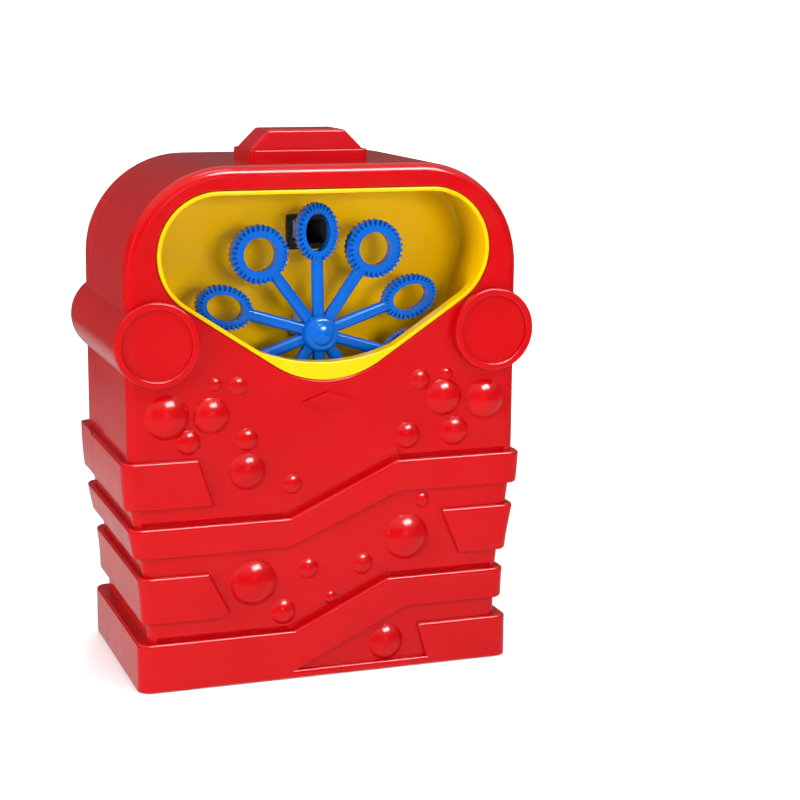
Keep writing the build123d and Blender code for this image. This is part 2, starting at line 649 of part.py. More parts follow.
with BuildPart() as wand_wheel:
    for wand in range(WANDS):
        is_oval = wand % 2 == 0
        turn = WHEEL_START + wand * 360 / WANDS
        centre = (WAND_PITCH_R * math.cos(math.radians(turn)),
                  HUB_Z + WAND_PITCH_R * math.sin(math.radians(turn)))
        half_width = WAND_HALF_WIDTH if is_oval else WAND_R
        with BuildSketch(facing(RING_Y)):
            with Locations(Location((*centre, 0), turn)):
                toothed_oval(half_width, WAND_R)
        extrude(amount=-RING_DEPTH)
        with BuildSketch(facing(RING_Y + TOOTH_FRONT)):
            with Locations(Location((*centre, 0), turn)):
                Ellipse(WAND_R - TOOTH_RISE, half_width - TOOTH_RISE)
        extrude(amount=TOOTH_FRONT - RING_DEPTH)
        outward = Vector(math.cos(math.radians(turn)), 0, math.sin(math.radians(turn)))
        root = Vector(0, SPOKE_Y + SPOKE_DEPTH / 2, HUB_Z) + outward * SPOKE_START
        with BuildSketch(Plane(origin=root, x_dir=(0, 1, 0), z_dir=outward)):
            RectangleRounded(SPOKE_DEPTH, SPOKE_WIDTH, SPOKE_EDGE_R)
        extrude(amount=WAND_PITCH_R - WAND_R + 2.2 - SPOKE_START)
        with BuildSketch(facing(RING_Y)):
            with Locations(Location((*centre, 0), turn)):
                if is_oval:
                    Ellipse(OVAL_HOLE[1], OVAL_HOLE[0])
                else:
                    Circle(ROUND_HOLE_R)
        extrude(amount=-RING_DEPTH, mode=Mode.SUBTRACT)
    post(0, HUB_Z, HUB_FRONT_Y, HUB_BACK_Y, HUB_R)
    fillet(wand_wheel.faces().sort_by(Axis.Y)[0].edges(), HUB_EDGE_R)
    post(0, HUB_Z, HUB_FRONT_Y, HUB_BACK_Y, SHAFT_R, Mode.SUBTRACT)
save(wand_wheel, "wand_wheel")

CAP_R = 4.4
CAP_RISE = 2.0
CAP_BALL_R = (CAP_R**2 + CAP_RISE**2) / (2 * CAP_RISE)
with BuildPart() as wheel_cap:
    with Locations((0, HUB_FRONT_Y - CAP_RISE + CAP_BALL_R, HUB_Z)):
        Sphere(CAP_BALL_R)
    post(0, HUB_Z, HUB_FRONT_Y - CAP_RISE, HUB_FRONT_Y, 2 * CAP_R, Mode.INTERSECT)
save(wheel_cap, "wheel_cap")

SHAFT_END_Y = COVER_Y + 1.5
with BuildPart() as wheel_shaft:
    post(0, HUB_Z, HUB_FRONT_Y, SHAFT_END_Y, SHAFT_R)
    chamfer(wheel_shaft.faces().sort_by(Axis.Y)[-1].edges(), 0.3)
save(wheel_shaft, "wheel_shaft")

BUSH_FLANGE_R = 5.6
with BuildPart() as shaft_bush:
    post(0, HUB_Z, TRAY_INNER_Y, CASE_FRONT_Y + CASE_WALL, BUSH_R)
    post(0, HUB_Z, TRAY_INNER_Y - 1.2, TRAY_INNER_Y, BUSH_FLANGE_R)
    post(0, HUB_Z, TRAY_INNER_Y - 1.2, CASE_FRONT_Y + CASE_WALL, SHAFT_R + RUN, Mode.SUBTRACT)
save(shaft_bush, "shaft_bush")

# --- gear train -------------------------------------------------------------------------------
# Output gear on the wheel shaft, then three compound gears on pins, then the motor pinion.
TRAIN_HEADINGS = [-40.0, -100.0, -160.0, -220.0]   # from each gear's centre to the next
GEAR_BORE_R = PIN_R + RUN
SLEEVE_R = 1.9
SLEEVE_GAP = 0.2


def layer_y(layer):
    return FIRST_LAYER_Y + (layer - 1) * GEAR_LAYER


def polar(radius, angle):
    return (radius * math.cos(angle), radius * math.sin(angle))


def spur_gear(teeth, tooth_at):
    """Involute gear outline about the origin, with the middle of a tooth at tooth_at degrees."""
    pitch_r = MODULE * teeth / 2
    base_r = pitch_r * math.cos(PRESSURE)
    tip_r = pitch_r + 0.9 * MODULE
    root_r = pitch_r - 1.25 * MODULE
    half_tooth = math.pi / (2 * teeth) - BACKLASH / 2 / pitch_r / 2 + math.tan(PRESSURE) - PRESSURE
    first_r = max(base_r, root_r)
    flank = [first_r + (tip_r - first_r) * step / 3 for step in range(4)]
    points = []
    for tooth in range(teeth):
        middle = math.radians(tooth_at) + 2 * math.pi * tooth / teeth
        rise = []
        for radius in flank:
            roll = math.acos(min(1.0, base_r / radius))
            rise.append((radius, half_tooth - (math.tan(roll) - roll)))
        side = [(root_r, half_tooth + 0.1 / root_r)] + rise
        points += [polar(r, middle - a) for r, a in side]
        points += [polar(r, middle + a) for r, a in reversed(side)]
    Polygon(*points, align=None)


def mesh(tooth_at, teeth, heading, next_teeth):
    """Where the next gear has a tooth, so that it meshes with this one along the heading."""
    share = (heading - tooth_at) * teeth / 360
    next_share = 0.5 - share
    return heading + 180 - next_share * 360 / next_teeth


centres = [(0.0, HUB_Z)]
for heading in TRAIN_HEADINGS:
    centres.append((centres[-1][0] + CENTRES * math.cos(math.radians(heading)),
                    centres[-1][1] + CENTRES * math.sin(math.radians(heading))))
small_tooth_at = [mesh(0.0, BIG_TEETH, heading, SMALL_TEETH) for heading in TRAIN_HEADINGS]


with BuildPart() as output_gear:
    with BuildSketch(facing(layer_y(1))):
        with Locations(centres[0]):
            spur_gear(BIG_TEETH, 0.0)
    extrude(amount=-GEAR_THICK)
    post(*centres[0], layer_y(1), COVER_Y - SLEEVE_GAP, SHAFT_R + 0.7)
    post(*centres[0], layer_y(1), COVER_Y, SHAFT_R, Mode.SUBTRACT)
save(output_gear, "output_gear")

for number in (1, 2, 3):
    centre = centres[number]
    with BuildPart() as compound_gear:
        with BuildSketch(facing(layer_y(number))):
            with Locations(centre):
                spur_gear(SMALL_TEETH, small_tooth_at[number - 1])
        extrude(amount=-GEAR_LAYER)
        with BuildSketch(facing(layer_y(number + 1))):
            with Locations(centre):
                spur_gear(BIG_TEETH, 0.0)
        extrude(amount=-GEAR_THICK)
        post(*centre, CASE_FRONT_Y + CASE_WALL + SLEEVE_GAP, COVER_Y - SLEEVE_GAP, SLEEVE_R)
        post(*centre, CASE_FRONT_Y, COVER_Y, GEAR_BORE_R, Mode.SUBTRACT)
    save(compound_gear, f"compound_gear_{number}")

PIN_FRONT_Y = CASE_FRONT_Y + 0.5
PIN_BACK_Y = COVER_Y + 1.5
with BuildPart() as gear_pins:
    for number in (1, 2, 3):
        post(*centres[number], PIN_FRONT_Y, PIN_BACK_Y, PIN_R)
save(gear_pins, "gear_pins")

MOTOR_X, MOTOR_Z = centres[4]
with BuildPart() as motor_pinion:
    with BuildSketch(facing(layer_y(4))):
        with Locations(centres[4]):
            spur_gear(SMALL_TEETH, small_tooth_at[3])
    extrude(amount=-GEAR_THICK)
    post(*centres[4], layer_y(4), layer_y(4) + GEAR_THICK, PIN_R, Mode.SUBTRACT)
save(motor_pinion, "motor_pinion")

# --- gearbox case and cover -------------------------------------------------------------------
CASE_X = 1.5
CASE_Z = 120.2
CASE_W = 46.6
CASE_H = 55.4
CASE_SIDE = 1.6
MOTOR_NOSE_R = 3.0
CRADLE = 7.0

with BuildPart() as gearbox_case:
    with BuildSketch(facing(CASE_FRONT_Y)):
        with Locations((CASE_X, CASE_Z)):
            RectangleRounded(CASE_W, CASE_H, 3)
    extrude(amount=CASE_FRONT_Y - COVER_Y)
    with BuildSketch(facing(CASE_FRONT_Y + CASE_WALL)):
        with Locations((CASE_X, CASE_Z)):
            RectangleRounded(CASE_W - 2 * CASE_SIDE, CASE_H - 2 * CASE_SIDE, 1.4)
    extrude(amount=CASE_FRONT_Y + CASE_WALL - COVER_Y, mode=Mode.SUBTRACT)
    post(0, HUB_Z, CASE_FRONT_Y, COVER_Y, BUSH_R, Mode.SUBTRACT)
    for number in (1, 2, 3):
        post(*centres[number], PIN_FRONT_Y, COVER_Y, PIN_R, Mode.SUBTRACT)
save(gearbox_case, "gearbox_case")

with BuildPart() as gearbox_cover:
    with BuildSketch(facing(COVER_Y)):
        with Locations((CASE_X, CASE_Z)):
            RectangleRounded(CASE_W, CASE_H, 3)
        with Locations(*GEARBOX_POSTS):
            Circle(BOSS_R + 0.5)
        for x, z in GEARBOX_POSTS:
            with Locations(((x + math.copysign(CASE_W / 2 - 3, x) + CASE_X) / 2, z)):
                Rectangle(8, 2 * BOSS_R)
    extrude(amount=-CASE_WALL)
    # cradle that grips the wheel motor
    post(MOTOR_X, MOTOR_Z, COVER_Y + 0.5, MOTOR_FRONT_Y + CRADLE, MOTOR_R + 1.6)
    post(MOTOR_X, MOTOR_Z, MOTOR_FRONT_Y, MOTOR_FRONT_Y + CRADLE, MOTOR_R + 0.02, Mode.SUBTRACT)
    post(MOTOR_X, MOTOR_Z, COVER_Y, MOTOR_FRONT_Y, MOTOR_NOSE_R + 0.05, Mode.SUBTRACT)
    post(0, HUB_Z, COVER_Y, SHAFT_END_Y + 0.2, SHAFT_R + RUN, Mode.SUBTRACT)
    for number in (1, 2, 3):
        post(*centres[number], COVER_Y, PIN_BACK_Y, PIN_R, Mode.SUBTRACT)
    for x, z in GEARBOX_POSTS:
        post(x, z, COVER_Y - 1, MOTOR_FRONT_Y + 1, SMALL_SCREW_R + 0.2, Mode.SUBTRACT)
save(gearbox_cover, "gearbox_cover")

# --- wheel motor ------------------------------------------------------------------------------
CAN_BACK_Y = MOTOR_FRONT_Y + MOTOR_LENGTH
CAP_BACK_Y = CAN_BACK_Y + MOTOR_CAP


def motor_section(radius, flat):
    with Locations((MOTOR_X, MOTOR_Z)):
        Circle(radius)
        Rectangle(2 * radius, flat, mode=Mode.INTERSECT)


with BuildPart() as wheel_motor:
    with BuildSketch(facing(MOTOR_FRONT_Y)):
        motor_section(MOTOR_R, MOTOR_FLAT)
    extrude(amount=MOTOR_FRONT_Y - CAN_BACK_Y)
    post(MOTOR_X, MOTOR_Z, COVER_Y + 0.4, MOTOR_FRONT_Y, MOTOR_NOSE_R)
    post(MOTOR_X, MOTOR_Z, COVER_Y, CAN_BACK_Y, PIN_R + RUN, Mode.SUBTRACT)
save(wheel_motor, "wheel_motor")

with BuildPart() as wheel_motor_cap:
    with BuildSketch(facing(CAN_BACK_Y)):
        motor_section(MOTOR_R - 0.1, MOTOR_FLAT - 0.2)
    extrude(amount=-MOTOR_CAP)
    post(MOTOR_X, MOTOR_Z, CAN_BACK_Y, CAP_BACK_Y - 1.2, PIN_R + RUN, Mode.SUBTRACT)
save(wheel_motor_cap, "wheel_motor_cap")

with BuildPart() as wheel_motor_shaft:
    post(MOTOR_X, MOTOR_Z, layer_y(4), CAP_BACK_Y - 1.5, PIN_R)
save(wheel_motor_shaft, "wheel_motor_shaft")

# --- blower -----------------------------------------------------------------------------------
NECK_W = NOZZLE_W - NECK
NECK_H = NOZZLE_H - NECK
DUCT_W = NECK_W + 2 * RUN
DUCT_H = NECK_H + 2 * RUN
SCROLL_X = NOZZLE_X + DUCT_W / 2 - SCROLL_R
DUCT_LOW = NOZZLE_Z - DUCT_H / 2
DUCT_HIGH = NOZZLE_Z + DUCT_H / 2
DUCT_FRONT_Y = TRAY_BACK_Y + 0.3
INLET_R = 9.5
BLOWER_EAR = 2.2
NOZZLE_FRONT_Y = TRAY_INNER_Y - 2.0
NOZZLE_WALL = 1.2


def scroll(grow):
    """Blower outline from above: a round chamber with a straight duct to the front."""
    with Locations((SCROLL_X, SCROLL_Y)):
        Circle(SCROLL_R + grow)
    with Locations((NOZZLE_X, (DUCT_FRONT_Y + SCROLL_Y) / 2)):
        Rectangle(DUCT_W + 2 * grow, SCROLL_Y - DUCT_FRONT_Y)


with BuildPart() as blower_housing:
    with BuildSketch(Plane.XY.offset(DUCT_LOW - BLOWER_WALL)):
        scroll(BLOWER_WALL)
    extrude(amount=DUCT_HIGH - DUCT_LOW + BLOWER_WALL)
    for x, z in BLOWER_POSTS[:2]:
        with BuildPart(mode=Mode.PRIVATE) as ear:
            with BuildSketch(facing(BLOWER_EAR_Y)):
                with Locations((x, z), (NOZZLE_X - 6, NOZZLE_Z)):
                    Circle(BOSS_R)
                make_hull()
                with Locations((0, DUCT_HIGH)):
                    Rectangle(REACH, REACH, align=(Align.CENTER, Align.MIN), mode=Mode.SUBTRACT)
                with Locations((x, z)):
                    Circle(BOSS_R)
                    Circle(SMALL_SCREW_R + 0.2, mode=Mode.SUBTRACT)
            extrude(amount=-BLOWER_EAR)
        add(ear.part)
    with BuildSketch(Plane.XY.offset(DUCT_LOW)):
        scroll(0)
    extrude(amount=DUCT_HIGH - DUCT_LOW, mode=Mode.SUBTRACT)
    with Locations((SCROLL_X, SCROLL_Y, DUCT_LOW)):
        Cylinder(INLET_R, 4 * BLOWER_WALL, mode=Mode.SUBTRACT)
save(blower_housing, "blower_housing")

with BuildPart() as blower_cover:
    with BuildSketch(Plane.XY.offset(DUCT_HIGH)):
        scroll(BLOWER_WALL)
        with Locations((SCROLL_X, SCROLL_Y)):
            Circle(1.6, mode=Mode.SUBTRACT)
    extrude(amount=BLOWER_WALL)
    # upright ear for the third screw, on a tab of the cover
    tab_start = BLOWER_POSTS[2][0] - BOSS_R
    with BuildSketch(Plane.XY.offset(DUCT_HIGH)):
        with Locations((tab_start, BLOWER_EAR_Y)):
            Rectangle(NOZZLE_X - DUCT_W / 2 - tab_start, 9.0, align=(Align.MIN, Align.MIN))
    extrude(amount=BLOWER_WALL)
    with BuildSketch(facing(BLOWER_EAR_Y)):
        with Locations((BLOWER_POSTS[2][0], DUCT_HIGH)):
            Rectangle(2 * BOSS_R, 8.8, align=(Align.CENTER, Align.MIN))
        with Locations(BLOWER_POSTS[2]):
            Circle(SMALL_SCREW_R + 0.2, mode=Mode.SUBTRACT)
    extrude(amount=-BLOWER_EAR)
save(blower_cover, "blower_cover")

with BuildPart() as air_nozzle:
    with BuildSketch(facing(NOZZLE_FRONT_Y)):
        with Locations((NOZZLE_X, NOZZLE_Z)):
            RectangleRounded(NOZZLE_W, NOZZLE_H, 1.0)
    extrude(amount=NOZZLE_FRONT_Y - TRAY_INNER_Y)
    with BuildSketch(facing(TRAY_INNER_Y)):
        with Locations((NOZZLE_X, NOZZLE_Z)):
            Rectangle(NECK_W, NECK_H)
    extrude(amount=TRAY_INNER_Y - DUCT_FRONT_Y - 4.0)
    with BuildSketch(facing(NOZZLE_FRONT_Y)):
        with Locations((NOZZLE_X, NOZZLE_Z)):
            Rectangle(NECK_W - 2 * NOZZLE_WALL, NECK_H - 2 * NOZZLE_WALL)
    extrude(amount=-3 * REACH / 4, mode=Mode.SUBTRACT)
    fillet(air_nozzle.faces().sort_by(Axis.Y)[0].outer_wire().edges(), 0.5)
save(air_nozzle, "air_nozzle")

BLADES = 12
FAN_LOW = DUCT_LOW + 1.6
FAN_HIGH = DUCT_HIGH - 1.2
with BuildPart() as fan_impeller:
    with Locations((SCROLL_X, SCROLL_Y, FAN_HIGH)):
        Cylinder(IMPELLER_R, 1.4, align=(Align.CENTER, Align.CENTER, Align.MAX))
        Cylinder(3.2, FAN_HIGH - FAN_LOW - 1.0, align=(Align.CENTER, Align.CENTER, Align.MAX))
    with BuildSketch(Plane.XY.offset(FAN_LOW)):
        with Locations((SCROLL_X, SCROLL_Y)):
            with PolarLocations(0, BLADES):
                with Locations(Location((IMPELLER_R * 0.74, 0, 0), 35)):
                    Rectangle(8.2, 1.0)
            Circle(IMPELLER_R, mode=Mode.INTERSECT)
    extrude(amount=FAN_HIGH - FAN_LOW - 0.5)
    with Locations((SCROLL_X, SCROLL_Y, NOZZLE_Z)):
        Cylinder(PIN_R, DUCT_H, mode=Mode.SUBTRACT)
save(fan_impeller, "fan_impeller")

FAN_MOTOR_LOW = DUCT_HIGH + BLOWER_WALL
with BuildPart() as fan_motor:
    with Locations((SCROLL_X, SCROLL_Y, FAN_MOTOR_LOW)):
        Cylinder(FAN_MOTOR_R, FAN_MOTOR_H, align=(Align.CENTER, Align.CENTER, Align.MIN))
    fillet(fan_motor.faces().sort_by(Axis.Z)[-1].edges(), 1.0)
    with Locations((SCROLL_X, SCROLL_Y, FAN_MOTOR_LOW)):
        Cylinder(PIN_R + RUN, 2 * FAN_MOTOR_H - 4.0, mode=Mode.SUBTRACT)
save(fan_motor, "fan_motor")

with BuildPart() as fan_motor_shaft:
    with Locations((SCROLL_X, SCROLL_Y, FAN_LOW + 2.5)):
        Cylinder(PIN_R, FAN_MOTOR_LOW + FAN_MOTOR_H - 2.5 - FAN_LOW - 2.5,
                 align=(Align.CENTER, Align.CENTER, Align.MIN))
save(fan_motor_shaft, "fan_motor_shaft")

# --- battery box ------------------------------------------------------------------------------
with BuildPart() as battery_box:
    with BuildSketch(facing(BOX_FLOOR_Y - BOX_WALL)):
        with Locations((0, CELLS_Z)):
            RectangleRounded(2 * (BOX_HALF + BOX_WALL), BOX_HIGH - BOX_LOW + 2 * BOX_WALL, 1.0)
    extrude(amount=BOX_FLOOR_Y - BOX_WALL - INNER_BACK_Y)
    with BuildSketch(facing(BOX_FLOOR_Y)):
        with Locations((0, CELLS_Z)):
            Rectangle(2 * BOX_HALF, BOX_HIGH - BOX_LOW)
    extrude(amount=BOX_FLOOR_Y - INNER_BACK_Y, mode=Mode.SUBTRACT)
    # ribs between the cells
    with BuildSketch(facing(BOX_FLOOR_Y)):
        with Locations((0, CELLS_Z)):
            with GridLocations(1, CELL_PITCH, 1, CELLS - 1):
                Rectangle(40.0, 1.2)
    extrude(amount=-2.5)
    for side in (-1, 1):
        with BuildSketch(facing(BOX_EAR_Y)):
            with Locations((side * BOX_EAR_X, BOX_EAR_Z), (side * (BOX_HALF + 1.0), BOX_EAR_Z)):
                Circle(BOSS_R - 0.5)
            make_hull()
            with Locations((side * BOX_EAR_X, BOX_EAR_Z)):
                Circle(SMALL_SCREW_R + 0.2, mode=Mode.SUBTRACT)
            with Locations((0, BOX_EAR_Z)):
                Rectangle(2 * BOX_HALF, 20.0, mode=Mode.SUBTRACT)
        extrude(amount=-BOX_EAR)
save(battery_box, "battery_box")

CONTACT_THICK = 0.4
CONTACT_X = BOX_HALF - CONTACT_THICK
CONTACT_WIDE = 12.0
with BuildPart() as contact_plates:
    # the right-hand end joins the cells in pairs, the left-hand end joins the middle two
    for x, z, tall in [
        (1, CELLS_Z - CELL_PITCH, CELL_PITCH + CONTACT_WIDE),
        (1, CELLS_Z + CELL_PITCH, CELL_PITCH + CONTACT_WIDE),
        (-1, CELLS_Z, CELL_PITCH + CONTACT_WIDE),
        (-1, CELLS_Z - 1.5 * CELL_PITCH, CONTACT_WIDE),
        (-1, CELLS_Z + 1.5 * CELL_PITCH, CONTACT_WIDE),
    ]:
        with Locations((x * (BOX_HALF - CONTACT_THICK / 2), CELL_Y, z)):
            Box(CONTACT_THICK, CONTACT_WIDE, tall)
save(contact_plates, "contact_plates")

for number in range(CELLS):
    plus = 1 if number % 2 == 0 else -1
    cell_z = CELLS_Z + (number - 1.5) * CELL_PITCH
    can_end = CONTACT_X - CELL_NUB
    with BuildPart() as battery:
        with Locations((plus * (can_end - CELL_LENGTH / 2), CELL_Y, cell_z)):
            Cylinder(CELL_R, CELL_LENGTH, rotation=(0, 90, 0))
        fillet(battery.edges(), 0.5)
        with Locations((plus * (can_end + CELL_NUB / 2 - 0.2), CELL_Y, cell_z)):
            Cylinder(2.75, CELL_NUB + 0.4, rotation=(0, 90, 0))
    save(battery, f"battery_{number + 1}")

COIL_R = 3.3
COIL_WIRE_R = 0.35
COIL_PITCH = 1.45
coil_length = CONTACT_X - (CELL_LENGTH - CONTACT_X + CELL_NUB)
with BuildPart() as battery_springs:
    for number in range(CELLS):
        minus = -1 if number % 2 == 0 else 1
        cell_z = CELLS_Z + (number - 1.5) * CELL_PITCH
        with BuildLine(mode=Mode.PRIVATE) as coil:
            Helix(COIL_PITCH, coil_length - 2 * COIL_WIRE_R - 0.2, COIL_R,
                  center=(minus * (CONTACT_X - COIL_WIRE_R - 0.05), CELL_Y, cell_z),
                  direction=(-minus, 0, 0))
        with BuildSketch(Plane(origin=coil.line @ 0, z_dir=coil.line % 0)):
            Circle(COIL_WIRE_R)
        sweep(path=coil.line, is_frenet=True)
save(battery_springs, "battery_springs")

# --- battery door -----------------------------------------------------------------------------
DOOR_IN_Y = BACK_Y - DOOR_THICK
DOOR_HEAD_R = 2.6
DOOR_RIB_X = 12.0
GRIPS = 5
with BuildPart() as battery_door:
    with BuildSketch(facing(DOOR_IN_Y)):
        with Locations((0, door_middle)):
            RectangleRounded(2 * DOOR_HALF, DOOR_HIGH - DOOR_LOW, DOOR_CORNER - FIT)
    extrude(amount=-DOOR_THICK)
    fillet(battery_door.faces().sort_by(Axis.Y)[-1].edges(), 0.4)
    # grip grooves
    with BuildSketch(facing(BACK_Y)):
        with Locations((0, DOOR_HIGH - 15.0)):
            with GridLocations(1, 2.6, 1, GRIPS):
                SlotOverall(22.0, 1.2)
    extrude(amount=0.5, mode=Mode.SUBTRACT)
    # ribs that keep the cells in place
    with BuildSketch(facing(DOOR_IN_Y - 1.3)):
        with Locations((-DOOR_RIB_X, CELLS_Z), (DOOR_RIB_X, CELLS_Z)):
            Rectangle(1.2, 52.0)
    extrude(amount=-1.3 - 0.2)
    post(0, DOOR_SCREW_Z, DOOR_IN_Y, BACK_Y, SMALL_SCREW_R + 0.2, Mode.SUBTRACT)
    with Locations(Location((0, DOOR_IN_Y + 0.2, DOOR_SCREW_Z), (-90, 0, 0))):
        Cone(SMALL_SCREW_R + 0.2, DOOR_HEAD_R + 0.15, DOOR_THICK - 0.2,
             align=(Align.CENTER, Align.CENTER, Align.MIN), mode=Mode.SUBTRACT)
save(battery_door, "battery_door")

with BuildPart() as battery_door_screw:
    post(0, DOOR_SCREW_Z, DOOR_POST_Y + 2.0, DOOR_IN_Y + 0.4, SMALL_SCREW_R)
    with Locations(Location((0, DOOR_IN_Y + 0.35, DOOR_SCREW_Z), (-90, 0, 0))):
        Cone(SMALL_SCREW_R + 0.1, DOOR_HEAD_R - 0.1, 1.05, align=(Align.CENTER, Align.CENTER, Align.MIN))
    with Locations((0, DOOR_IN_Y + 1.4, DOOR_SCREW_Z)):
        Box(2.8, 1.4, 0.6, mode=Mode.SUBTRACT)
        Box(0.6, 1.4, 2.8, mode=Mode.SUBTRACT)
save(battery_door_screw, "battery_door_screw")

# --- power button and its switch --------------------------------------------------------------
BUTTON_LOW = BODY_TOP + BUTTON_TRAVEL + 0.3
BUTTON_SIDE = 1.6
BUTTON_WALL = 2.0
SWITCH_HALF = 6.0
SWITCH_DEPTH = 8.0
SWITCH_LOW = 180.0
SWITCH_EAR = 2.0
PLUNGER_R = 1.5
PLUNGER_TOP = SWITCH_TOP + BUTTON_TRAVEL + 0.1
PLUNGER_LOW = SWITCH_LOW + BUTTON_TRAVEL + 1.7
button_middle_y = (BUTTON_FRONT_Y + BUTTON_BACK_Y) / 2

with BuildPart() as power_button:
    with BuildSketch(facing(BUTTON_FRONT_Y)) as profile:
        Polygon((-BUTTON_HALF, BUTTON_LOW), (BUTTON_HALF, BUTTON_LOW),
                (BUTTON_HALF, BUTTON_LOW + BUTTON_SIDE), (BUTTON_TOP_HALF, BUTTON_TOP),
                (-BUTTON_TOP_HALF, BUTTON_TOP), (-BUTTON_HALF, BUTTON_LOW + BUTTON_SIDE), align=None)
        fillet(profile.vertices().group_by(Axis.Y)[1], 1.2)
        fillet(profile.vertices().group_by(Axis.Y)[-1], 2.2)
    extrude(amount=BUTTON_FRONT_Y - BUTTON_BACK_Y)
    ends = power_button.faces().filter_by(Axis.Y)
    fillet(ends.edges().filter_by(lambda e: (e @ 0.5).Z > BUTTON_LOW + 0.1), 1.2)
    with BuildSketch(Plane.XY.offset(BUTTON_LOW)):
        with Locations((0, button_middle_y)):
            RectangleRounded(2 * BUTTON_TOP_HALF, BUTTON_BACK_Y - BUTTON_FRONT_Y - 2 * BUTTON_WALL, 1.0)
    extrude(amount=BUTTON_TOP - BUTTON_WALL - BUTTON_LOW - 1.5, mode=Mode.SUBTRACT)
    with Locations((0, STEM_Y, PLUNGER_TOP)):
        Cylinder(STEM_R, BUTTON_TOP - BUTTON_WALL - PLUNGER_TOP,
                 align=(Align.CENTER, Align.CENTER, Align.MIN))
save(power_button, "power_button")

with BuildPart() as switch_body:
    with Locations((0, STEM_Y, SWITCH_LOW)):
        Box(2 * SWITCH_HALF, SWITCH_DEPTH, SWITCH_TOP - SWITCH_LOW,
            align=(Align.CENTER, Align.CENTER, Align.MIN))
    with Locations((0, STEM_Y, SWITCH_TOP)):
        Box(24.0, SWITCH_DEPTH, SWITCH_EAR, align=(Align.CENTER, Align.CENTER, Align.MAX))
    with Locations((0, STEM_Y, SWITCH_TOP)):
        Cylinder(PLUNGER_R + RUN, SWITCH_TOP - SWITCH_LOW - 1.5,
                 align=(Align.CENTER, Align.CENTER, Align.MAX), mode=Mode.SUBTRACT)
    with Locations((-SWITCH_EAR_X, STEM_Y, SWITCH_TOP), (SWITCH_EAR_X, STEM_Y, SWITCH_TOP)):
        Cylinder(SMALL_SCREW_R + 0.2, 3 * SWITCH_EAR, mode=Mode.SUBTRACT)
save(switch_body, "switch_body")

with BuildPart() as switch_plunger:
    with Locations((0, STEM_Y, PLUNGER_LOW)):
        Cylinder(PLUNGER_R, PLUNGER_TOP - PLUNGER_LOW, align=(Align.CENTER, Align.CENTER, Align.MIN))
save(switch_plunger, "switch_plunger")

# --- screws -----------------------------------------------------------------------------------
SMALL_HEAD_R = 2.2


def pan_screw(x, z, seat_y, tip_y, shank_r, head_r):
    """Cross-head screw along Y: its head sits on seat_y and its shank ends at tip_y."""
    toward = math.copysign(1, tip_y - seat_y)
    head_y = seat_y - toward * 0.75 * head_r
    with BuildPart(mode=Mode.PRIVATE) as screw:
        post(x, z, min(seat_y, head_y), max(seat_y, head_y), head_r)
        fillet(screw.edges().filter_by(lambda e: abs((e @ 0.5).Y - head_y) < 0.01), 0.3 * head_r)
        post(x, z, min(seat_y, tip_y), max(seat_y, tip_y), shank_r)
        with Locations((x, head_y, z)):
            Box(1.1 * head_r, 0.8 * head_r, 0.24 * head_r, mode=Mode.SUBTRACT)
            Box(0.24 * head_r, 0.8 * head_r, 1.1 * head_r, mode=Mode.SUBTRACT)
    add(screw.part)


with BuildPart() as shell_screws:
    for x, z in mirrored(SHELL_POSTS):
        pan_screw(x, z, SCREW_SEAT_Y, POST_FRONT_Y + 5, SCREW_R, HEAD_R - 0.2)
save(shell_screws, "shell_screws")

with BuildPart() as tray_screws:
    for x, z in TRAY_LUGS:
        pan_screw(x, z, LUG_Y + LUG_THICK, INNER_FRONT_Y + 0.8, SMALL_SCREW_R, SMALL_HEAD_R)
save(tray_screws, "tray_screws")

with BuildPart() as gearbox_screws:
    for x, z in GEARBOX_POSTS:
        pan_screw(x, z, MOTOR_FRONT_Y, TRAY_BACK_Y + 2.5, SMALL_SCREW_R, SMALL_HEAD_R)
save(gearbox_screws, "gearbox_screws")

with BuildPart() as blower_screws:
    for x, z in BLOWER_POSTS:
        pan_screw(x, z, BLOWER_EAR_Y + BLOWER_EAR, TRAY_BACK_Y - 0.6, SMALL_SCREW_R, SMALL_HEAD_R)
save(blower_screws, "blower_screws")

with BuildPart() as battery_box_screws:
    for side in (-1, 1):
        pan_screw(side * BOX_EAR_X, BOX_EAR_Z, BOX_EAR_Y, INNER_BACK_Y + 0.4, SMALL_SCREW_R, SMALL_HEAD_R)
save(battery_box_screws, "battery_box_screws")

HEAD_HIGH = 1.5
CROSS_LONG = 2.4
CROSS_WIDE = 0.5
with BuildPart() as switch_screws:
    for x in (-SWITCH_EAR_X, SWITCH_EAR_X):
        with Locations((x, STEM_Y, SWITCH_TOP - SWITCH_EAR)):
            Cylinder(SMALL_HEAD_R, HEAD_HIGH, align=(Align.CENTER, Align.CENTER, Align.MAX))
            Cylinder(SMALL_SCREW_R, SWITCH_EAR + 4.5, align=(Align.CENTER, Align.CENTER, Align.MIN))
        with Locations((x, STEM_Y, SWITCH_TOP - SWITCH_EAR - HEAD_HIGH)):
            Box(CROSS_LONG, CROSS_WIDE, HEAD_HIGH, mode=Mode.SUBTRACT)
            Box(CROSS_WIDE, CROSS_LONG, HEAD_HIGH, mode=Mode.SUBTRACT)
save(switch_screws, "switch_screws")

# --- rubber feet ------------------------------------------------------------------------------
with BuildPart() as rubber_feet:
    with Locations(*[(side * FOOT_X, y, 0) for side in (-1, 1) for y in (FOOT_FRONT_Y, FOOT_BACK_Y)]):
        Cylinder(FOOT_R, UNDERSIDE + FOOT_SINK, align=(Align.CENTER, Align.CENTER, Align.MIN))
    fillet(rubber_feet.edges().filter_by(lambda e: (e @ 0.5).Z < 0.01), 0.5)
save(rubber_feet, "rubber_feet")

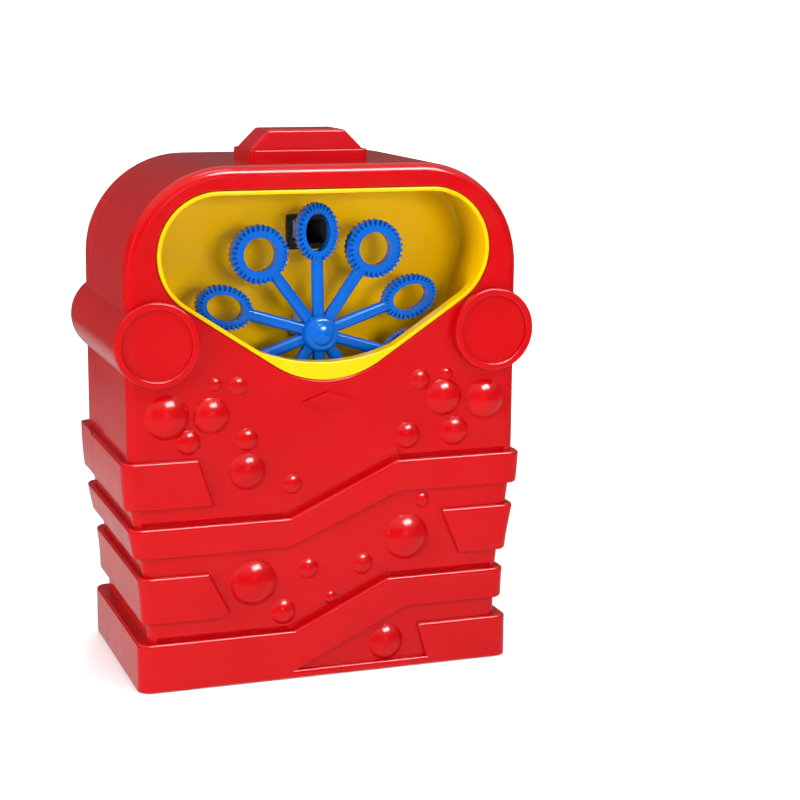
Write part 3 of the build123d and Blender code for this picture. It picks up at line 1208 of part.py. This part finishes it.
# --- leads ------------------------------------------------------------------------------------
CAP_Y = CAN_BACK_Y + MOTOR_CAP / 2
CAP_HALF = MOTOR_FLAT / 2 - 0.1
FAN_LEAD_Z = 184.0
SWITCH_LEAD_Z = 183.5
BEND_R = 3.0
BOX_TOP = BOX_HIGH + BOX_WALL
LEADS = {
    "battery_lead_black": [
        (-20, 33, BOX_TOP), (-20, 33, 84), (MOTOR_X, CAP_Y, 98), (MOTOR_X, CAP_Y, MOTOR_Z - CAP_HALF),
    ],
    "battery_lead_red": [
        (20, 33, BOX_TOP), (20, 33, 84), (32, 31, 98), (37, 28, 118), (36, 24, 140), (30, 16, 160),
        (24, 8, 174), (14, STEM_Y, SWITCH_LEAD_Z), (SWITCH_HALF, STEM_Y, SWITCH_LEAD_Z),
    ],
    "switch_lead": [
        (-SWITCH_HALF, STEM_Y, SWITCH_LEAD_Z), (-13, STEM_Y, SWITCH_LEAD_Z), (-17, 9, 187),
        (-27, 9, 183), (-33, 12, 172), (-34, 20, 154), (-28, 30, 138),
        (MOTOR_X, CAP_Y, 133), (MOTOR_X, CAP_Y, MOTOR_Z + CAP_HALF),
    ],
    "fan_lead_red": [
        (SCROLL_X - FAN_MOTOR_R, SCROLL_Y, FAN_LEAD_Z), (-28, SCROLL_Y, FAN_LEAD_Z), (-34, 25, 168),
        (-33, 31, 145), (-33, CAP_Y, 124), (-33, CAP_Y, MOTOR_Z),
        (MOTOR_X - MOTOR_R + 0.1, CAP_Y, MOTOR_Z),
    ],
    "fan_lead_black": [
        (SCROLL_X + FAN_MOTOR_R, SCROLL_Y, FAN_LEAD_Z), (14, SCROLL_Y, FAN_LEAD_Z), (18, 26, 168),
        (18, 31, 145), (14, CAP_Y, 126), (4, CAP_Y, MOTOR_Z),
        (MOTOR_X + MOTOR_R - 0.1, CAP_Y, MOTOR_Z),
    ],
}
for name, route in LEADS.items():
    with BuildPart() as lead:
        with BuildLine() as path:
            FilletPolyline(*route, radius=BEND_R)
        with BuildSketch(Plane(origin=path.line @ 0, z_dir=path.line % 0)):
            Circle(LEAD_R)
        sweep()
    save(lead, name)
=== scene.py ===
import json
import math

import bpy
from mathutils import Matrix, Vector

MM = 0.001

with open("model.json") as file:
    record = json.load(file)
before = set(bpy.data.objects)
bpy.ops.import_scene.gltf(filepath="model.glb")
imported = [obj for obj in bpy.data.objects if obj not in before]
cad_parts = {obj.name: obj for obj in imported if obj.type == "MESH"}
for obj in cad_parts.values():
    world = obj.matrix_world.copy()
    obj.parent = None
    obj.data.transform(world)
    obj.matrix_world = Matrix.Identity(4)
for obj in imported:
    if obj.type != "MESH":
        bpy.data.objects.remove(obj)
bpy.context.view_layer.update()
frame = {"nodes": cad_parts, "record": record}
nodes = frame["nodes"]


# --- shader node helpers ----------------------------------------------------------------------
def new_material(name):
    material = bpy.data.materials.new(name)
    material.use_nodes = True
    tree = material.node_tree
    tree.nodes.clear()
    output = tree.nodes.new("ShaderNodeOutputMaterial")
    shader = tree.nodes.new("ShaderNodeBsdfPrincipled")
    tree.links.new(shader.outputs["BSDF"], output.inputs["Surface"])
    return material, tree, shader


def object_point(tree):
    return tree.nodes.new("ShaderNodeTexCoord").outputs["Object"]


def noise(tree, scale, detail=3.0, roughness=0.5, point=None):
    node = tree.nodes.new("ShaderNodeTexNoise")
    node.inputs["Scale"].default_value = scale
    node.inputs["Detail"].default_value = detail
    node.inputs["Roughness"].default_value = roughness
    tree.links.new(point or object_point(tree), node.inputs["Vector"])
    return node.outputs["Fac"]


def stretched(tree, x, y, z):
    mapping = tree.nodes.new("ShaderNodeMapping")
    mapping.inputs["Scale"].default_value = (x, y, z)
    tree.links.new(object_point(tree), mapping.inputs["Vector"])
    return mapping.outputs["Vector"]


def to_range(tree, value, low, high, out_low, out_high):
    node = tree.nodes.new("ShaderNodeMapRange")
    node.inputs["From Min"].default_value = low
    node.inputs["From Max"].default_value = high
    node.inputs["To Min"].default_value = out_low
    node.inputs["To Max"].default_value = out_high
    tree.links.new(value, node.inputs["Value"])
    return node.outputs["Result"]


def combine(tree, operation, a, b):
    node = tree.nodes.new("ShaderNodeMath")
    node.operation = operation
    for socket, value in zip(node.inputs, (a, b)):
        if isinstance(value, (int, float)):
            socket.default_value = value
        else:
            tree.links.new(value, socket)
    return node.outputs["Value"]


def mixed(tree, factor, first, second):
    node = tree.nodes.new("ShaderNodeMix")
    node.data_type = "RGBA"
    tree.links.new(factor, node.inputs["Factor"])
    for socket, value in ((node.inputs["A"], first), (node.inputs["B"], second)):
        if isinstance(value, tuple):
            socket.default_value = (*value, 1.0)
        else:
            tree.links.new(value, socket)
    return node.outputs["Result"]


def bumped(tree, shader, height, distance):
    """Bump the shader's normal by a height, distance being the metres that a height of 1 stands for."""
    node = tree.nodes.new("ShaderNodeBump")
    node.inputs["Strength"].default_value = 1.0
    node.inputs["Distance"].default_value = distance
    tree.links.new(height, node.inputs["Height"])
    tree.links.new(node.outputs["Normal"], shader.inputs["Normal"])


# --- materials --------------------------------------------------------------------------------
# noise scales, in features per metre
FLOW_MARKS = 22.0
SCUFFS = 900.0
SMEARS = 60.0
MOULD_GRAIN = 2600.0
SURFACE_WAVES = 34.0
DRAWING_MARKS = 1400.0
TARNISH = 120.0
RUBBER_DUST = 300.0
RUBBER_GRAIN = 1800.0

# how high each surface's relief stands, in metres
PLASTIC_RELIEF = 0.00022
METAL_RELIEF = 0.00003
RUBBER_RELIEF = 0.00006
PLASTIC_IOR = 1.5


def moulded_plastic(name, colour, deep, roughness, coat=0.0, grain=0.03, translucent=0.0,
                    sheen=(1.0, 1.0, 1.0)):
    """Moulded plastic: faint flow marks in the colour, fine scuffs, a slightly wavy surface."""
    material, tree, shader = new_material(name)
    flow = noise(tree, FLOW_MARKS, 4.0, 0.6)
    tint = to_range(tree, flow, 0.35, 0.7, 0.0, 1.0)
    shade = mixed(tree, tint, colour, deep)
    scuffs = noise(tree, SCUFFS, 2.0, 0.7, stretched(tree, 1.0, 0.25, 0.12))
    rubbed = to_range(tree, scuffs, 0.72, 0.88, 0.0, 0.05)
    pale = tuple(min(1.0, 0.8 * c + 0.12) for c in colour)
    tree.links.new(mixed(tree, rubbed, shade, pale), shader.inputs["Base Color"])
    smears = noise(tree, SMEARS, 5.0, 0.65)
    gloss = to_range(tree, smears, 0.3, 0.75, roughness - 0.04, roughness + 0.08)
    tree.links.new(combine(tree, "ADD", gloss, combine(tree, "MULTIPLY", rubbed, 0.6)),
                   shader.inputs["Roughness"])
    fine = noise(tree, MOULD_GRAIN, 2.0, 0.5)
    waves = noise(tree, SURFACE_WAVES, 1.0, 0.4)
    height = combine(tree, "ADD", combine(tree, "MULTIPLY", fine, grain), waves)
    bumped(tree, shader, height, PLASTIC_RELIEF)
    shader.inputs["IOR"].default_value = PLASTIC_IOR
    shader.inputs["Specular Tint"].default_value = (*sheen, 1.0)
    if coat:
        shader.inputs["Coat Weight"].default_value = coat
        shader.inputs["Coat Roughness"].default_value = 0.08
    if translucent:
        shader.inputs["Subsurface Weight"].default_value = translucent
        shader.inputs["Subsurface Radius"].default_value = colour
        shader.inputs["Subsurface Scale"].default_value = 0.002
    return material


def turned_metal(name, colour, roughness, scale=(1.0, 1.0, 1.0)):
    """Plated metal with fine drawing marks and slight tarnish."""
    material, tree, shader = new_material(name)
    marks = noise(tree, DRAWING_MARKS, 3.0, 0.6, stretched(tree, *scale))
    tarnish = noise(tree, TARNISH, 4.0, 0.6)
    dull = tuple(0.62 * c for c in colour)
    shade = mixed(tree, to_range(tree, tarnish, 0.45, 0.75, 0.0, 0.6), colour, dull)
    tree.links.new(shade, shader.inputs["Base Color"])
    tree.links.new(to_range(tree, marks, 0.3, 0.7, roughness - 0.08, roughness + 0.12),
                   shader.inputs["Roughness"])
    shader.inputs["Metallic"].default_value = 1.0
    bumped(tree, shader, marks, METAL_RELIEF)
    return material


def soft_rubber(name, colour, roughness):
    """Rubber or soft insulation with a little dust on it."""
    material, tree, shader = new_material(name)
    dust = noise(tree, RUBBER_DUST, 5.0, 0.7)
    pale = tuple(c + 0.05 for c in colour)
    tree.links.new(mixed(tree, to_range(tree, dust, 0.5, 0.75, 0.0, 0.8), colour, pale),
                   shader.inputs["Base Color"])
    tree.links.new(to_range(tree, dust, 0.3, 0.7, roughness - 0.08, roughness + 0.08),
                   shader.inputs["Roughness"])
    bumped(tree, shader, noise(tree, RUBBER_GRAIN, 2.0), RUBBER_RELIEF)
    return material


red = moulded_plastic("red_gloss", (0.33, 0.0006, 0.002), (0.29, 0.0004, 0.0014), 0.15,
                      sheen=(1.0, 0.7, 0.7))
button_red = moulded_plastic("button_red", (0.35, 0.0011, 0.0045), (0.31, 0.0008, 0.0036), 0.2,
                             sheen=(1.0, 0.7, 0.7))
yellow = moulded_plastic("yellow_gloss", (0.6, 0.35, 0.0), (0.54, 0.3, 0.0), 0.18, translucent=0.1,
                         sheen=(1.0, 0.9, 0.5))
blue = moulded_plastic("blue_gloss", (0.0, 0.07, 0.34), (0.0, 0.055, 0.29), 0.18, sheen=(0.6, 0.85, 1.0))
black = moulded_plastic("black_satin", (0.012, 0.012, 0.014), (0.006, 0.006, 0.008), 0.38, grain=0.1)
grey = moulded_plastic("grey_satin", (0.32, 0.33, 0.34), (0.27, 0.28, 0.29), 0.4)
white = moulded_plastic("natural_nylon", (0.72, 0.7, 0.64), (0.66, 0.64, 0.58), 0.42, translucent=0.2)
steel = turned_metal("zinc_steel", (0.62, 0.63, 0.64), 0.32, (1.0, 1.0, 0.1))
can = turned_metal("motor_can", (0.66, 0.66, 0.64), 0.26, (1.0, 0.08, 1.0))
brass = turned_metal("brass", (0.78, 0.56, 0.25), 0.3)
nickel = turned_metal("nickel", (0.72, 0.71, 0.68), 0.2)
rubber = soft_rubber("foot_rubber", (0.03, 0.03, 0.032), 0.75)
red_lead = soft_rubber("red_insulation", (0.45, 0.01, 0.01), 0.42)
black_lead = soft_rubber("black_insulation", (0.012, 0.012, 0.012), 0.42)
cell = moulded_plastic("cell_label", (0.03, 0.035, 0.05), (0.02, 0.022, 0.035), 0.25, coat=0.4)

slot_material = {
    "red_plastic": red, "button_red": button_red, "yellow_plastic": yellow, "blue_plastic": blue,
    "black_plastic": black, "grey_plastic": grey, "white_plastic": white, "steel": steel,
    "motor_can": can, "brass": brass, "spring_steel": nickel, "cell": cell, "rubber": rubber,
    "red_insulation": red_lead, "black_insulation": black_lead,
}
for entry in frame["record"]["subparts"]:
    node = nodes[entry["node"]]
    node.data.materials.clear()
    node.data.materials.append(slot_material[entry["material_slot"]])

# --- floor and light --------------------------------------------------------------------------
FLOOR_FLAT = 3.0                # the floor is level out to here, then sweeps up to a low rim
FLOOR_RIM = 6.0
RIM_HEIGHT = 0.5
FLOOR_SIDES = 48
FLOOR_STEPS = 8
GLOW_FROM = 0.9                 # the floor's glow grows from here to where it stops being flat
GLOW = 0.9


def make_floor():
    """Pale studio floor: a level disc whose edge rises gently, so that its end never shows."""
    points = []
    for step in range(FLOOR_STEPS + 1):
        share = step / FLOOR_STEPS
        radius = FLOOR_FLAT + share * (FLOOR_RIM - FLOOR_FLAT)
        for side in range(FLOOR_SIDES):
            angle = 2 * math.pi * side / FLOOR_SIDES
            points.append((radius * math.cos(angle), radius * math.sin(angle), RIM_HEIGHT * share ** 2))
    faces = [tuple(range(FLOOR_SIDES))]
    for step in range(FLOOR_STEPS):
        for side in range(FLOOR_SIDES):
            here = step * FLOOR_SIDES + side
            after = step * FLOOR_SIDES + (side + 1) % FLOOR_SIDES
            faces.append((here, here + FLOOR_SIDES, after + FLOOR_SIDES, after))
    mesh = bpy.data.meshes.new("floor")
    mesh.from_pydata(points, [], faces)
    mesh.shade_smooth()
    floor = bpy.data.objects.new("floor", mesh)
    bpy.context.scene.collection.objects.link(floor)
    paint, tree, shader = new_material("floor_paint")
    shade = mixed(tree, noise(tree, 8.0), (0.91, 0.91, 0.91), (0.94, 0.94, 0.94))
    tree.links.new(shade, shader.inputs["Base Color"])
    shader.inputs["Roughness"].default_value = 0.7
    # the far floor glows a little, so that it stays as pale as the floor under the lights
    distance = tree.nodes.new("ShaderNodeVectorMath")
    distance.operation = "LENGTH"
    tree.links.new(object_point(tree), distance.inputs[0])
    shader.inputs["Emission Color"].default_value = (1.0, 1.0, 1.0, 1.0)
    tree.links.new(to_range(tree, distance.outputs["Value"], GLOW_FROM, FLOOR_FLAT, 0.0, GLOW),
                   shader.inputs["Emission Strength"])
    mesh.materials.append(paint)
    # glossy plastic mirrors the dim room rather than the white floor
    floor.visible_glossy = False


make_floor()

# a bright soft ceiling over a room that is dim near the ground, and a pale table close in front
CEILING = 1.0
DIM_ROOM = 0.1
TABLE = 0.42
world = bpy.data.worlds.new("studio")
world.use_nodes = True
sky = world.node_tree
background = sky.nodes["Background"]
background.inputs["Color"].default_value = (1.0, 1.0, 1.0, 1.0)
direction = sky.nodes.new("ShaderNodeTexCoord")
parts = sky.nodes.new("ShaderNodeSeparateXYZ")
sky.links.new(direction.outputs["Generated"], parts.inputs["Vector"])
ceiling = to_range(sky, parts.outputs["Z"], 0.3, 0.75, DIM_ROOM, CEILING)
table = to_range(sky, parts.outputs["Z"], -0.17, -0.26, 0.0, TABLE)
room = combine(sky, "ADD", ceiling, table)
# the backdrop itself is white
seen = sky.nodes.new("ShaderNodeLightPath").outputs["Is Camera Ray"]
sky.links.new(combine(sky, "MAXIMUM", room, seen), background.inputs["Strength"])
bpy.context.scene.world = world
bpy.context.scene.view_settings.view_transform = "Standard"

LIGHT_TARGET = Vector((0.0, 0.0, 0.12))


def area_light(name, place, width, height, power, use=""):
    """Soft light aimed at the machine; use is empty, "highlight" or "fill"."""
    data = bpy.data.lights.new(name, "AREA")
    data.shape = "RECTANGLE"
    data.size = width
    data.size_y = height
    data.energy = power
    lamp = bpy.data.objects.new(name, data)
    lamp.location = place
    lamp.rotation_mode = "QUATERNION"
    lamp.rotation_quaternion = (LIGHT_TARGET - Vector(place)).to_track_quat("-Z", "Y")
    lamp.visible_glossy = use != "fill"
    lamp.visible_diffuse = use != "highlight"
    bpy.context.scene.collection.objects.link(lamp)


area_light("softbox", (0.36, -0.8, 1.0), 0.66, 0.36, 24.0, "highlight")
area_light("overhead", (0.0, -0.25, 1.1), 0.35, 0.06, 1.6)
area_light("key", (0.5, -0.75, 0.85), 0.2, 0.12, 5.5, "fill")
area_light("front_fill", (0.1, -1.5, 0.36), 0.5, 0.3, 16.0, "fill")
area_light("back_fill", (0.5, 1.4, 0.5), 0.6, 0.4, 18.0, "fill")
area_light("left_fill", (-1.2, -0.5, 0.45), 0.5, 0.7, 21.0, "fill")

# --- camera -----------------------------------------------------------------------------------
CAMERA_PLACE = Vector((-217.5, -725.0, 252.3)) * MM
CAMERA_YAW = math.radians(19.815)
CAMERA_DIP = math.radians(11.235)
CAMERA_ROLL = math.radians(0.46)
camera_data = bpy.data.cameras.new("camera")
camera_data.lens = 86.3
camera_data.sensor_width = 36.0
camera_data.clip_start = 0.01
camera_data.clip_end = 50.0
camera = bpy.data.objects.new("camera", camera_data)
camera.rotation_mode = "QUATERNION"
forward = Vector((math.sin(CAMERA_YAW) * math.cos(CAMERA_DIP),
                  math.cos(CAMERA_YAW) * math.cos(CAMERA_DIP),
                  -math.sin(CAMERA_DIP)))
right = forward.cross(Vector((0, 0, 1))).normalized()
up = right.cross(forward)
rolled_right = right * math.cos(CAMERA_ROLL) + up * math.sin(CAMERA_ROLL)
rolled_up = up * math.cos(CAMERA_ROLL) - right * math.sin(CAMERA_ROLL)
turn = Matrix((rolled_right, rolled_up, -forward)).transposed()
camera.rotation_quaternion = turn.to_quaternion()
camera.location = CAMERA_PLACE
bpy.context.scene.collection.objects.link(camera)
bpy.context.scene.camera = camera
